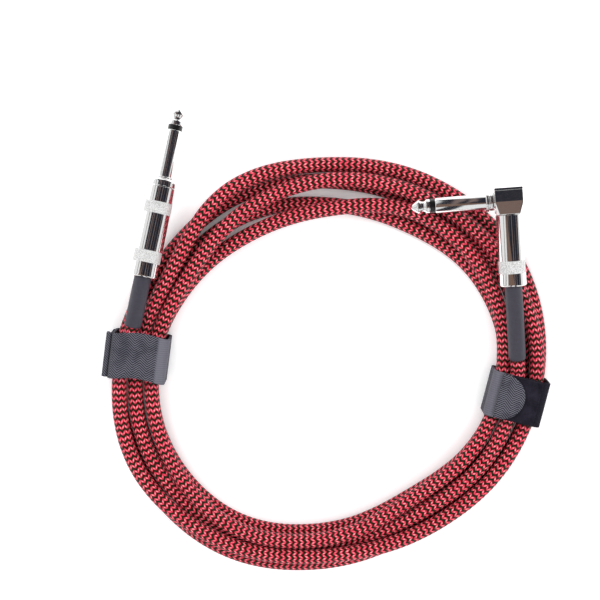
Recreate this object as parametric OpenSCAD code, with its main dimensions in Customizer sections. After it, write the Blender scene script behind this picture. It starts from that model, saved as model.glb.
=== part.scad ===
// Instrument cable: a braided cord wound into a flat coil and held by two hook-and-loop
// straps, with a straight 1/4 in plug on one end and a right-angle one on the other.
// Millimetres, +Z up, lying on its surface at Z = 0.

/* [Cord] */
// Diameter of the braided cord
cord_d = 6.2; // [5.8:0.1:6.6]
// Space kept between neighbouring turns
turn_gap = 0.65; // [0.65:0.05:1]
// Diameter of the inner jacket under the braid
jacket_d = 5.2; // [4.8:0.1:5.4]
// Diameter of the insulation round the conductor
core_d = 3; // [2.4:0.1:3.4]
// Diameter of the copper conductor
conductor_d = 1; // [0.8:0.1:1.2]

/* [Coil] */
// Mean radius of the coil's middle lane
coil_r = 78; // [74:1:90]
// How far the bundle rises over the bottom of a strap
strap_lift = 1.75; // [1.7:0.05:2.4]
// Coil centre, left to right
coil_x = 1.5; // [-5:0.05:5]
// Coil centre, front to back
coil_y = -8.45; // [-20:0.05:5]

/* [Plug contacts] */
// Diameter of the plug's sleeve contact
plug_d = 6.35; // [6.3:0.05:6.35]
// Length from the plug's shoulder to the end of its nose
contact_l = 30.5; // [29:0.5:32]
// Length of the tip contact
tip_l = 7.8; // [7:0.1:8.6]
// Length of the black insulating ring behind the tip
ring_l = 2; // [1.4:0.1:2.4]
// Diameter of the rod that carries the tip
rod_d = 2.4; // [2:0.1:2.6]
// Bore of the sleeve contact
sleeve_bore_d = 4.2; // [3.8:0.1:4.4]

/* [Straight plug] */
// Length of the shell with its front collar
straight_l = 41.5; // [40:0.5:46]
// Outer diameter of the shell
straight_d = 11.4; // [11.2:0.1:13]
// Length of the collar in front of the shell
collar_l = 3.2; // [2.6:0.1:4]
// Length of boot that shows behind the shell
straight_boot_l = 20.8; // [18:0.2:24]
// Bend of that boot
straight_boot_bend = 14; // [10:1:16]
// Heading of the plug's nose
straight_heading = 77.9; // [77:0.1:80]
// Droop of the plug's nose
straight_droop = 8.5; // [6:0.1:8.8]

/* [Right-angle plug] */
// Width of the square head
head_w = 11.6; // [11.4:0.1:13]
// Length of the head's square part above the contact's axis
head_top = 4.6; // [4.4:0.1:5.2]
// Thickness of the cap on the head
cap_t = 1; // [0.8:0.1:1.4]
// Length of the head's tapered part below the contact's axis
head_taper = 5.4; // [5:0.1:6]
// Length of the neck and flange between head and contact
neck_l = 3.4; // [3:0.1:4]
// Length of the shell
angle_l = 29.5; // [28:0.5:33]
// Diameter of the shell where the boot leaves it
angle_d = 11.2; // [11:0.1:12]
// Length of boot that shows behind the shell
angle_boot_l = 31; // [28:0.5:34]
// Bend of that boot
angle_boot_bend = 12; // [9:1:13]
// Heading of the shell, from its boot to its head
angle_heading = 94.2; // [92:0.1:95]

/* [Shells and boots] */
// Wall of both shells
shell_t = 0.9; // [0.7:0.05:1]
// Length of the threads that hold the shells
thread_l = 6; // [5:0.5:6.5]
// Wall of the insulating liner in each shell
liner_t = 0.5; // [0.4:0.05:0.6]
// Outer diameter of the boots
boot_d = 7.2; // [7:0.1:7.4]
// Length of boot that stays straight behind a shell
boot_straight = 7; // [6.5:0.5:9]
// Thickness of each shell's end wall
end_t = 1.6; // [1.2:0.1:2]

/* [Straps] */
// Width of each strap, along the cord
strap_w = 19; // [17:0.5:19.5]
// Thickness of the strap's webbing
strap_t = 1; // [0.8:0.1:1]
// Room between the bundle and the strap at each side
strap_room = 1; // [1:0.1:1.6]
// Thickness of the loop pile
pile_t = 0.8; // [0.6:0.1:1]
// Thickness of the hook patch under the tab
hook_t = 0.5; // [0.4:0.1:0.7]
// Thickness of the tab
tab_t = 1; // [0.8:0.1:1.2]
// Length of the right strap's tab
right_tab_l = 10; // [9.5:0.5:15]
// Length of the left strap's tab
left_tab_l = 12; // [10:0.5:12.5]

/* [Hidden] */

$fn = 64;
eps = 0.01;
fit = 0.05;             // radial clearance of parts that slide or screw together
seat = 0.2;             // gap between parts that lie against each other
cord_r = cord_d / 2;
pitch = cord_d + turn_gap;
rest_cut = cord_d / 10; // depth of the flat where the coil rests
floor_z = cord_r - rest_cut;

// ---- Course of the coil -------------------------------------------------------------
// The bundle's radius every 30 degrees from the right, as a difference from coil_r
RING = [3, 2, -3, -6, -6, -4.5, 2.5, 7.5, 7, 1, -3, 0.5];
// Where each turn lies in the bundle every 30 degrees, from 180 degrees on:
// its lane outwards and its layer upwards, both counted in cord pitches
TURNS = [
  [[0.85, 1.4], [0.95, 1.35], [0.4, 1.83], [0.4, 1.83], [1.03, 1.2], [0.93, 1],
   [0.8, 0.97], [0.45, 0.9], [0.5, 0.92], [0.45, 1.02], [-0.1, 1.02], [-0.77, 1]],
  [[-1.03, 1], [-1.1, 1.35], [-0.7, 1.87], [-0.7, 1.87], [-1.05, 1.3], [-1.12, 1],
   [-1.22, 1], [-0.9, 1], [-0.6, 0.92], [-1.3, 1], [-1.5, 0.4], [-1.05, 0]],
  [[-1, 0], [-1, 0], [-0.85, 0], [-0.85, 0], [-1, 0], [-1, 0],
   [-1, 0], [-1.35, 0], [-1.5, 0], [-1.1, 0], [-0.4, 0], [-0.02, 0]],
  [[0, 0], [0, 0], [0.15, 0], [0.15, 0], [0, 0], [0, 0],
   [0, 0], [0, 0], [0, 0], [0.32, 0], [0.85, 0], [1, 0]],
  [[1, 0], [1, 0], [0.95, 0.86], [0.95, 0.86], [1, 0], [1, 0],
   [1, 0], [1.2, 0], [1.4, 0], [1.35, 0.3], [1.5, 0.9], [0.28, 1]],
  [[-0.05, 1], [-0.05, 1], [-0.2, 1], [-0.2, 1], [0, 1], [-0.1, 1.15], [-0.49, 1.71]]
];
CHART = [for (turn = TURNS, place = turn) place];
chart_step = 30;
ring_step = 15;         // one ring of the tube every 15 degrees, 24 to a turn
chart_start = 180;
chart_end = 2145;
start_angle = 169.5;    // where the cord leaves the straight plug's boot
start_place = [0.68, 1.89];
end_angle = 361;        // where it enters the right-angle plug's boot
end_place = [-0.49, 1.71];
left_angle = 178.6;     // where the straps hold the bundle
right_angle = 349;
lift_flat = 16;         // how far from a strap the bundle keeps its full lift
lift_reach = 46;        // and where it lies down again

// A smooth curve through b and c, with a before them and d after
function smooth(a, b, c, d, u) =
  0.5 * (2 * b + (c - a) * u + (2 * a - 5 * b + 4 * c - d) * u * u
    + (3 * b - a - 3 * c + d) * u * u * u);
function chart_at(i) = CHART[max(0, min(len(CHART) - 1, i))];
function place(t) =
  let (x = (t - chart_start) / chart_step, i = floor(x))
  smooth(chart_at(i - 1), chart_at(i), chart_at(i + 1), chart_at(i + 2), x - i);
function wrap(a) = a - 360 * floor(a / 360);
function ring_at(i) = RING[i % len(RING)];
function ring_r(a) =
  let (x = wrap(a) / chart_step, i = floor(x))
  coil_r + smooth(ring_at(i + 11), ring_at(i), ring_at(i + 1), ring_at(i + 2), x - i);
function away(a, b) = abs(wrap(a - b + 180) - 180);
function hump(d) =
  d < lift_flat ? 1
  : d < lift_reach ? 0.5 + 0.5 * cos(180 * (d - lift_flat) / (lift_reach - lift_flat))
  : 0;
function lift(a) = strap_lift * (hump(away(a, left_angle)) + hump(away(a, right_angle)));
function lane_point(a, lane, layer) =
  let (r = ring_r(a) + lane * pitch)
  [coil_x + r * cos(a), coil_y + r * sin(a), floor_z + layer * pitch + lift(a)];
function coil_point(t) = let (p = place(t)) lane_point(t, p[0], p[1]);

// ---- Where the plugs lie ------------------------------------------------------------
function turned(v, polar, heading) =
  let (x = v[0] * cos(polar) + v[2] * sin(polar), z = v[2] * cos(polar) - v[0] * sin(polar))
  [x * cos(heading) - v[1] * sin(heading), x * sin(heading) + v[1] * cos(heading), z];
function bend_r(l, bend) = (l - boot_straight) * 180 / PI / bend;
// End of a boot, seen from where it leaves its shell, and the way the cord goes on there
function boot_end(l, bend) =
  let (r = bend_r(l, bend))
  [r * (1 - cos(bend)), 0, -boot_straight - r * sin(bend)];
function boot_way(bend) = [sin(bend), 0, -cos(bend)];

straight_polar = 90 + straight_droop;
cord_start = lane_point(start_angle, start_place[0], start_place[1]);
start_way = turned(boot_way(straight_boot_bend), straight_polar, straight_heading);
straight_at = cord_start - turned(boot_end(straight_boot_l, straight_boot_bend)
  - [0, 0, straight_l], straight_polar, straight_heading);

angle_polar = 90;
cord_end = lane_point(end_angle, end_place[0], end_place[1]);
end_way = -turned(boot_way(angle_boot_bend), angle_polar, angle_heading);
shell_gap = 0.3;        // open seam between a shell and what it screws against
angle_shell_z = -head_taper - shell_gap;
angle_at = cord_end - turned(boot_end(angle_boot_l, angle_boot_bend)
  + [0, 0, angle_shell_z - angle_l], angle_polar, angle_heading);

module straight_frame() {
  translate(straight_at) rotate([0, straight_polar, straight_heading]) children();
}

module angle_frame() {
  translate(angle_at) rotate([0, angle_polar, angle_heading]) children();
}

// The right-angle plug's contact, whose nose points sideways from its head
contact_y = head_w / 2 + neck_l;
module angle_contact_frame() {
  angle_frame() translate([0, contact_y, 0]) rotate([-90, 0, 0]) children();
}

// ---- The cord's tube ----------------------------------------------------------------
ROUTE = concat(
  [cord_start, cord_start + cord_d * start_way],
  [for (t = [chart_start : ring_step : chart_end]) coil_point(t)],
  [cord_end - cord_d * end_way, cord_end]);
sides = 6;
function unit(v) = v / norm(v);
last = len(ROUTE) - 1;
function way(i) =
  i <= 1 ? start_way
  : i >= last - 1 ? end_way
  : unit(ROUTE[i + 1] - ROUTE[i - 1]);
function tube_ring(i) =
  let (w = way(i), side = unit(cross(w, [0, 0, 1])), up = cross(side, w))
  [for (k = [0 : sides - 1])
    ROUTE[i] + cord_r * (cos(90 + k * 360 / sides) * side + sin(90 + k * 360 / sides) * up)];
function tube_faces(n) = concat(
  [for (k = [1 : sides - 2]) [0, k, k + 1]],
  [for (i = [0 : n - 2], k = [0 : sides - 1])
    let (a = i * sides + k, b = i * sides + (k + 1) % sides) [a, a + sides, b]],
  [for (i = [0 : n - 2], k = [0 : sides - 1])
    let (a = i * sides + k, b = i * sides + (k + 1) % sides) [b, a + sides, b + sides]],
  [for (k = [1 : sides - 2]) let (e = (n - 1) * sides) [e, e + k + 1, e + k]]);

// Least gap between turns, on four points to each stretch between rings
SAMPLES = [for (i = [0 : last - 1], u = [0, 0.25, 0.5, 0.75])
  ROUTE[i] + (ROUTE[i + 1] - ROUTE[i]) * u];
apart = 16;             // samples along the cord that count as the same stretch
least_gap = min([for (i = [0 : len(SAMPLES) - 1 - apart], j = [i + apart : len(SAMPLES) - 1])
  norm(SAMPLES[i] - SAMPLES[j])]) - cord_d;
function route_length(i = 0) =
  i == last ? 0 : norm(ROUTE[i + 1] - ROUTE[i]) + route_length(i + 1);

module cord_coil() {
  echo(least_gap = least_gap, cord_length = route_length());
  color("crimson")
  intersection() {
    polyhedron([for (i = [0 : last]) each tube_ring(i)], tube_faces(last + 1));
    half = 2 * coil_r;
    translate([coil_x - half, coil_y - half, 0]) cube([2 * half, 2 * half, half]);
  }
}

// ---- Contacts, the same on both plugs -----------------------------------------------
// Z = 0 is the shoulder, the nose points up and the cable leaves downwards.
plug_r = plug_d / 2;
rod_r = rod_d / 2;
ring_top = contact_l - tip_l;
sleeve_top = ring_top - ring_l;
tube_r = sleeve_bore_d / 2 - fit;
nose_r = 0.9;
nose_l = 3.2;           // from the nose's end to its widest ring
groove_l = 4.8;         // from the nose's end to the middle of the groove
groove_r = 2.1;
tip_r = 2.95;           // rear collar of the tip
insulator_r = 2.98;     // insulating ring
tip_land = 2.2;         // length of the rear collar with its slope

module contact_tip() {
  color("lightgray")
  rotate_extrude()
  polygon([
    [0, ring_top], [tip_r, ring_top], [tip_r, ring_top + tip_land - 0.4],
    [tip_r - 0.3, ring_top + tip_land], [groove_r, contact_l - groove_l],
    [groove_r + 0.1, contact_l - groove_l + 0.5], [plug_r - 0.3, contact_l - nose_l],
    [plug_r - 0.6, contact_l - nose_l + 0.6], [nose_r, contact_l - 0.35],
    [nose_r - 0.4, contact_l], [0, contact_l]]);
}

module contact_rod(rod_end) {
  color("goldenrod")
  translate([0, 0, rod_end]) cylinder(r = rod_r, h = ring_top - rod_end);
}

module contact_insulator(tube_end) {
  color("black")
  difference() {
    union() {
      translate([0, 0, sleeve_top]) cylinder(r = insulator_r, h = ring_l);
      translate([0, 0, tube_end]) cylinder(r = tube_r, h = sleeve_top - tube_end);
    }
    translate([0, 0, tube_end - 1]) cylinder(r = rod_r + fit, h = contact_l - tube_end);
  }
}

// A flat ring on the rod
module rod_washer(r, z, t) {
  translate([0, 0, z])
  difference() {
    cylinder(r = r, h = t);
    translate([0, 0, -1]) cylinder(r = rod_r + fit, h = t + 2);
  }
}

// ---- Cable ends, the same on both plugs ---------------------------------------------
// Z = 0 is where the boot leaves its shell, and the cable leaves downwards.
jacket_r = jacket_d / 2;
core_r = core_d / 2;
conductor_r = conductor_d / 2;
boot_r = boot_d / 2;
strip_l = 9;            // insulated core that stands out of the jacket
bare_l = 3.4;           // bare conductor beyond it
boot_clear = 3;         // from the boot's inner end to the clamp's claws
clamp_t = 0.6;
claw_t = 0.75;
tail_d = 1;

// A run that goes straight and then bends with the boot, with the given section
module bent_run(top, l, bend) {
  translate([0, 0, -boot_straight])
  linear_extrude(top + boot_straight)
  children();
  translate([bend_r(l, bend), 0, -boot_straight])
  rotate([90, 0, 0])
  rotate([0, 0, 180])
  rotate_extrude(angle = bend)
  translate([bend_r(l, bend), 0])
  children();
}

module boot(l, bend, top) {
  color("dimgray")
  bent_run(top - claw_foot - boot_clear, l, bend)
  difference() {
    circle(r = boot_r);
    circle(r = jacket_r + fit);
  }
}

module jacket(l, bend, top) {
  color("black") bent_run(top, l, bend) circle(r = jacket_r);
}

module core(top) {
  color("white") translate([0, 0, top]) cylinder(r = core_r, h = strip_l);
}

module conductor(top) {
  color("peru") translate([0, 0, top + strip_l]) cylinder(r = conductor_r, h = bare_l);
}

// The twisted shield, standing between the core and the clamp's arm
module shield_tail(top) {
  color("peru")
  translate([-core_r - seat - tail_d / 2, 0, top + fit])
  cylinder(d = tail_d, h = strip_l * 0.7);
}

// Claws round the jacket at the foot of the clamp's arm
claw_l = 4;
claw_foot = claw_l + 1; // from the jacket's end down to the claws' foot
claw_gap = 80;          // open part of the claws, in degrees
module clamp_claws(top) {
  translate([0, 0, top - claw_foot])
  rotate([0, 0, 180 + claw_gap / 2 - 40])
  rotate_extrude(angle = 360 - claw_gap)
  translate([jacket_r + fit, 0])
  square([claw_t, claw_l]);
}

// ---- Straight plug ------------------------------------------------------------------
straight_r = straight_d / 2;
straight_in_r = straight_r - shell_t;
thread_r = straight_in_r - 0.15;
collar_round = 1.7;
boot_hole_r = boot_r + fit + 0.1;
sleeve_back = -collar_l - thread_l;
washer_t = 0.8;
washer_r = tube_r + 0.7;
lug_t = 0.5;
nut_t = 1.2;
washer_z = sleeve_back - fit - washer_t;
lug_z = washer_z - fit - lug_t;
nut_z = lug_z - fit - nut_t;
rod_end = nut_z - 0.6;
cable_gap = 1.2;        // from the rod's end to the cable's conductor
straight_cable_z = -straight_l;
straight_top = rod_end - cable_gap - bare_l - strip_l - straight_cable_z;

module straight_tip() { straight_frame() contact_tip(); }
module straight_tip_rod() { straight_frame() contact_rod(rod_end); }
module straight_tip_insulator() { straight_frame() contact_insulator(sleeve_back + fit); }

module straight_sleeve() {
  color("silver")
  straight_frame()
  difference() {
    union() {
      cylinder(r = plug_r, h = sleeve_top - fit);
      rotate_extrude()
      union() {
        translate([0, -collar_l]) square([straight_r, collar_l - collar_round]);
        translate([0, -collar_l]) square([straight_r - collar_round, collar_l]);
        translate([straight_r - collar_round, -collar_round]) circle(r = collar_round);
      }
      translate([0, 0, sleeve_back]) cylinder(r = thread_r, h = thread_l + eps);
    }
    translate([0, 0, sleeve_back - 1]) cylinder(d = sleeve_bore_d, h = contact_l + 20);
  }
}

module straight_rear_washer() {
  color("saddlebrown") straight_frame() rod_washer(washer_r, washer_z, washer_t);
}

lug_w = 2;
module straight_tip_lug() {
  color("gainsboro")
  straight_frame() {
    rod_washer(tube_r + 0.3, lug_z, lug_t);
    lug_arm(lug_z, rod_end - cable_gap - bare_l);
  }
}

// Arm from the lug's rim down beside the conductor, with a foot that turns in to it
module lug_arm(top, bottom) {
  x = rod_r + 0.5;
  translate([x, -lug_w / 2, bottom]) cube([lug_t, lug_w, top - bottom + eps]);
  translate([conductor_r + fit, -lug_w / 2, bottom])
  cube([x - conductor_r - fit + eps, lug_w, lug_t]);
}

// Solder round a conductor, against the foot of its lug
bead_l = 1.4;
bead_r = 1.1;
module solder(foot) {
  color("gainsboro")
  translate([0, 0, foot + lug_t + fit])
  difference() {
    cylinder(r = bead_r, h = bead_l);
    translate([0, 0, -1]) cylinder(r = conductor_r + fit, h = bead_l + 2);
  }
}

module straight_tip_solder() {
  straight_frame() solder(rod_end - cable_gap - bare_l);
}

module straight_rod_nut() {
  color("gold") straight_frame() rod_washer(rod_r + 0.4, nut_z, nut_t);
}

clamp_r = thread_r - 0.3;
arm_w = 3;
arm_x = jacket_r + fit;
// Outer face of an arm whose edges clear the liner
function arm_face(bore_r) = sqrt(pow(bore_r - fit - liner_t - seat, 2) - pow(arm_w / 2, 2));
module straight_ground_clamp() {
  color("silver")
  straight_frame()
  clamp(sleeve_back, straight_cable_z + straight_top, clamp_r, washer_r + seat,
    straight_in_r);
}

// A ring against the sleeve's back, an arm beside the solder joints, and the claws
module clamp(back, jacket_end, rim_r, hole_r, bore_r) {
  ring_z = back - clamp_t - fit;
  foot = jacket_end - claw_foot;
  x = -arm_face(bore_r);
  difference() {
    translate([0, 0, ring_z]) cylinder(r = rim_r, h = clamp_t);
    translate([0, 0, ring_z - 1]) cylinder(r = hole_r, h = clamp_t + 2);
  }
  translate([x, -arm_w / 2, foot]) cube([clamp_t, arm_w, ring_z + clamp_t - foot]);
  translate([x, -arm_w / 2, foot]) cube([-x - arm_x, arm_w, clamp_t]);
  clamp_claws(jacket_end);
}

module straight_cable_frame() {
  straight_frame() translate([0, 0, straight_cable_z]) children();
}

module straight_jacket() {
  straight_cable_frame() jacket(straight_boot_l, straight_boot_bend, straight_top);
}
module straight_core() { straight_cable_frame() core(straight_top); }
module straight_conductor() { straight_cable_frame() conductor(straight_top); }
module straight_shield_tail() { straight_cable_frame() shield_tail(straight_top); }
module straight_boot() {
  straight_cable_frame() boot(straight_boot_l, straight_boot_bend, straight_top);
}

module straight_liner() {
  color("whitesmoke")
  straight_frame()
  liner(sleeve_back - clamp_t - 2 * fit - seat, -straight_l + end_t + fit, straight_in_r);
}

module liner(top, bottom, bore_r) {
  translate([0, 0, bottom])
  difference() {
    cylinder(r = bore_r - fit, h = top - bottom);
    translate([0, 0, -1]) cylinder(r = bore_r - fit - liner_t, h = top - bottom + 2);
  }
}

module straight_shell() {
  color("gainsboro")
  straight_frame()
  shell(-collar_l - shell_gap, -straight_l, straight_r, straight_r, thread_r);
}

// Shell: a tube with a threaded mouth and an end wall that the boot passes through
module shell(top, bottom, top_r, bottom_r, mouth_r) {
  difference() {
    translate([0, 0, bottom]) cylinder(r1 = bottom_r, r2 = top_r, h = top - bottom);
    translate([0, 0, top - thread_l - eps]) cylinder(r = mouth_r + fit, h = thread_l + 1);
    translate([0, 0, bottom + end_t])
    cylinder(r = top_r - shell_t, h = top - thread_l - bottom - end_t);
    translate([0, 0, bottom - 1]) cylinder(r = boot_hole_r, h = end_t + 2);
  }
}

// ---- Right-angle plug ---------------------------------------------------------------
head_r = head_w / 2;
angle_top_r = angle_d / 2 - 0.2;
angle_in_r = angle_top_r - shell_t;
angle_thread_r = angle_in_r - 0.15;
cavity_r = 3.4;
angle_back = angle_shell_z - thread_l;
angle_cable_z = angle_shell_z - angle_l;
angle_conductor_z = -4.4;
angle_cable_top = angle_conductor_z - bare_l - strip_l - angle_cable_z;
inner_face = contact_y - 2.6;       // how far the contact's bore runs back to the cavity
angle_washer_z = -inner_face - washer_t;
angle_lug_z = angle_washer_z - fit - lug_t;
angle_nut_z = angle_lug_z - fit - nut_t;
angle_rod_end = angle_nut_z - 0.5;

module angle_tip() { angle_contact_frame() contact_tip(); }
module angle_tip_rod() { angle_contact_frame() contact_rod(angle_rod_end); }
module angle_tip_insulator() { angle_contact_frame() contact_insulator(-inner_face + fit); }

flange_r = 4.1;
neck_r = 3.5;
spigot_r = 2.8;         // the neck's end that is pressed into the head
spigot_l = 2;
module angle_sleeve() {
  color("silver")
  angle_contact_frame()
  difference() {
    union() {
      cylinder(r = plug_r, h = sleeve_top - fit);
      translate([0, 0, -neck_l]) cylinder(r = neck_r, h = neck_l);
      rotate_extrude()
      polygon([[0, -0.4 * neck_l], [flange_r, -0.4 * neck_l], [flange_r, -0.1 * neck_l],
        [flange_r - 0.4, 0], [0, 0]]);
      translate([0, 0, -neck_l - spigot_l]) cylinder(r = spigot_r, h = spigot_l + eps);
    }
    translate([0, 0, -neck_l - spigot_l - 1]) cylinder(d = sleeve_bore_d, h = contact_l + 20);
  }
}

module angle_head() {
  color("silver")
  difference() {
    angle_frame()
    union() {
      translate([-head_r, -head_r, 0]) cube([head_w, head_w, head_top]);
      hull() {
        translate([-head_r, -head_r, -eps]) cube([head_w, head_w, eps]);
        translate([0, 0, -head_taper])
        for (x = [-1, 1], y = [-1, 1])
          translate([x * (angle_top_r - 1.9), y * (angle_top_r - 1.9), 0])
          cylinder(r = 1.9, h = eps, $fn = 32);
      }
      translate([0, 0, angle_back]) cylinder(r = angle_thread_r, h = thread_l + shell_gap + eps);
    }
    angle_frame() translate([0, 0, angle_back - 1]) cylinder(r = cavity_r, h = 40);
    angle_contact_frame() translate([0, 0, -contact_y])
    cylinder(r = spigot_r + fit, h = contact_y);
  }
}

module angle_head_cap() {
  color("gray")
  angle_frame() {
    translate([-head_r, -head_r, head_top + fit]) cube([head_w, head_w, cap_t - fit]);
    translate([0, 0, head_top - 1]) cylinder(r = cavity_r - fit, h = 1 + 2 * fit);
  }
}

module angle_rear_washer() {
  color("saddlebrown")
  angle_contact_frame() rod_washer(tube_r + 0.5, angle_washer_z, washer_t);
}

module angle_tip_lug() {
  color("gainsboro") {
    angle_contact_frame() rod_washer(tube_r, angle_lug_z, lug_t);
    angle_frame() {
      y = contact_y + angle_lug_z;
      translate([-lug_w / 2, y, angle_conductor_z - bare_l])
      cube([lug_w, lug_t, bare_l - angle_conductor_z - rod_r - fit - 0.2]);
      translate([-lug_w / 2, conductor_r + fit, angle_conductor_z - bare_l])
      cube([lug_w, y - conductor_r - fit + eps, lug_t]);
    }
  }
}

module angle_tip_solder() {
  angle_frame() solder(angle_conductor_z - bare_l);
}

module angle_rod_nut() {
  color("gold") angle_contact_frame() rod_washer(rod_r + 0.4, angle_nut_z, nut_t);
}

module angle_ground_clamp() {
  color("silver")
  angle_frame()
  clamp(angle_back, angle_cable_z + angle_cable_top, angle_thread_r - 0.3, cavity_r - 0.4,
    angle_in_r);
}

module angle_cable_frame() {
  angle_frame() translate([0, 0, angle_cable_z]) children();
}

module angle_jacket() {
  angle_cable_frame() jacket(angle_boot_l, angle_boot_bend, angle_cable_top);
}
module angle_core() { angle_cable_frame() core(angle_cable_top); }
module angle_conductor() { angle_cable_frame() conductor(angle_cable_top); }
module angle_shield_tail() { angle_cable_frame() shield_tail(angle_cable_top); }
module angle_boot() {
  angle_cable_frame() boot(angle_boot_l, angle_boot_bend, angle_cable_top);
}

module angle_liner() {
  color("whitesmoke")
  angle_frame()
  liner(angle_back - clamp_t - 2 * fit - seat, angle_cable_z + end_t + fit, angle_in_r);
}

module angle_shell() {
  color("gainsboro")
  angle_frame()
  shell(angle_shell_z, angle_cable_z, angle_top_r, angle_d / 2, angle_thread_r);
}

// ---- Straps -------------------------------------------------------------------------
// X points outwards from the coil, Y along the cord, and Z up.
strap_in = pitch + cord_r + strap_room;
strap_out = strap_in + strap_t;
left_skew = -6;         // how the bundle crosses the circle under each strap
right_skew = -3;
bundle_in = 1.35;       // how far inwards of its middle lane the bundle lies there
strap_round = 3.4;
left_top = cord_start[2] + cord_r + 0.1 + strap_t;
right_top = cord_end[2] + cord_r + 0.1 + strap_t;

module strap_frame(angle, skew) {
  translate([coil_x, coil_y, 0])
  rotate([0, 0, angle])
  translate([ring_r(angle), 0, 0])
  rotate([0, 0, skew])
  translate([-bundle_in, 0, 0])
  children();
}

// A rounded rectangle that stands on Y = 0
module rounded(half, low, high, r) {
  translate([-half + r, low]) square([2 * (half - r), high - low]);
  translate([-half, low + r]) square([2 * half, high - low - 2 * r]);
  for (x = [-1, 1], y = [low + r, high - r])
    translate([x * (half - r), y]) circle(r = r);
}

module strap_band(top) {
  rotate([90, 0, 0])
  linear_extrude(strap_w, center = true)
  difference() {
    rounded(strap_out, 0, top, strap_round);
    rounded(strap_in, strap_t, top - strap_t, strap_round - strap_t);
  }
}

// Outline of a tab: straight sides, then a half-round end
module tab_outline(l) {
  r = strap_w / 2 - 0.3;
  translate([0, -r]) square([l - r, 2 * r]);
  intersection() {
    translate([l - r, 0]) circle(r = r);
    translate([0, -r]) square([l, 2 * r]);
  }
}

// The pieces of a closure lie on the band: the tab's root is at X = 0, X runs along the
// tab and Z away from the band.
fold_r = (pile_t + seat + hook_t + tab_t) / 2;
hook_side = 1.5;        // bare border of a tab beside its hooks
hook_end = 2.4;         // and at its round end

module fold() {
  rotate([90, 0, 0])
  linear_extrude(strap_w, center = true) {
    translate([0, fold_r]) circle(r = fold_r);
    translate([-fold_r, 0]) square([2 * fold_r, fold_r]);
  }
}

module pile(l) {
  x = fold_r + seat;
  translate([x, -strap_w / 2, 0]) cube([l - x, strap_w, pile_t]);
}

module tab(l) {
  difference() {
    translate([0, 0, pile_t + seat + hook_t]) linear_extrude(tab_t) tab_outline(l);
    translate([0, 0, fold_r]) rotate([90, 0, 0])
    cylinder(r = fold_r + fit, h = 2 * strap_w, center = true);
  }
}

module hooks(l) {
  x = fold_r + 2 * seat;
  translate([x, -strap_w / 2 + hook_side, pile_t + seat])
  cube([l - x - hook_end, strap_w - 2 * hook_side, hook_t]);
}

// The left strap closes on its outer side, the right one on top
left_flat = left_top - 2 * strap_round;
module left_closure() {
  strap_frame(left_angle, left_skew)
  translate([strap_out, 0, left_top - strap_round - fold_r])
  rotate([0, 90, 0])
  children();
}

right_flat = 2 * (strap_out - strap_round);
module right_closure() {
  strap_frame(right_angle, right_skew)
  translate([-right_flat / 2 + fold_r, 0, right_top])
  children();
}

module left_strap_band() {
  color("dimgray") strap_frame(left_angle, left_skew) strap_band(left_top);
}
module left_strap_fold() { color("gray") left_closure() fold(); }
module left_strap_pile() { color("black") left_closure() pile(left_flat - fold_r); }
module left_strap_hooks() { color("black") left_closure() hooks(left_tab_l); }
module left_strap_tab() { color("slategray") left_closure() tab(left_tab_l); }

module right_strap_band() {
  color("dimgray") strap_frame(right_angle, right_skew) strap_band(right_top);
}
module right_strap_fold() { color("gray") right_closure() fold(); }
module right_strap_pile() { color("black") right_closure() pile(right_flat - fold_r); }
module right_strap_hooks() { color("black") right_closure() hooks(right_tab_l); }
module right_strap_tab() { color("slategray") right_closure() tab(right_tab_l); }

cord_coil();
straight_tip();
straight_tip_rod();
straight_tip_insulator();
straight_sleeve();
straight_rear_washer();
straight_tip_lug();
straight_tip_solder();
straight_rod_nut();
straight_ground_clamp();
straight_jacket();
straight_core();
straight_conductor();
straight_shield_tail();
straight_liner();
straight_shell();
straight_boot();
angle_tip();
angle_tip_rod();
angle_tip_insulator();
angle_sleeve();
angle_head();
angle_head_cap();
angle_rear_washer();
angle_tip_lug();
angle_tip_solder();
angle_rod_nut();
angle_ground_clamp();
angle_jacket();
angle_core();
angle_conductor();
angle_shield_tail();
angle_liner();
angle_shell();
angle_boot();
left_strap_band();
left_strap_fold();
left_strap_pile();
left_strap_tab();
left_strap_hooks();
right_strap_band();
right_strap_fold();
right_strap_pile();
right_strap_tab();
right_strap_hooks();
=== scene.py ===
"""Instrument cable: braided cord wound into a flat coil under two hook-and-loop straps, with a
straight plug and a right-angle plug. Metres, on the frame of the solids."""
import math

import bmesh
import bpy
from mathutils import Matrix, Vector


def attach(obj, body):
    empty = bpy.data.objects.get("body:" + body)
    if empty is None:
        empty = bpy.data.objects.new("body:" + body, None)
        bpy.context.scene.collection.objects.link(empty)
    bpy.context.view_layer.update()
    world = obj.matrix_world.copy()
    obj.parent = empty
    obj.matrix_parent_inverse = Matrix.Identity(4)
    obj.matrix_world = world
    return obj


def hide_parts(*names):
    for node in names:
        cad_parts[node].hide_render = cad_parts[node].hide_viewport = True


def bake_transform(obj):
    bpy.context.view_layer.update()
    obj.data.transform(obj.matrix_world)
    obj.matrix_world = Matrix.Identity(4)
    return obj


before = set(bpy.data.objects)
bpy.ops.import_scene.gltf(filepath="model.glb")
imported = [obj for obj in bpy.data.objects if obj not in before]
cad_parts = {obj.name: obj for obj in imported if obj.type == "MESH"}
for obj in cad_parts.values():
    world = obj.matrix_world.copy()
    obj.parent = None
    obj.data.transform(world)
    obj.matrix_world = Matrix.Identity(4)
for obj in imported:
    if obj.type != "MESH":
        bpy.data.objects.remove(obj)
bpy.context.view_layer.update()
MM = 0.001

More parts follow.
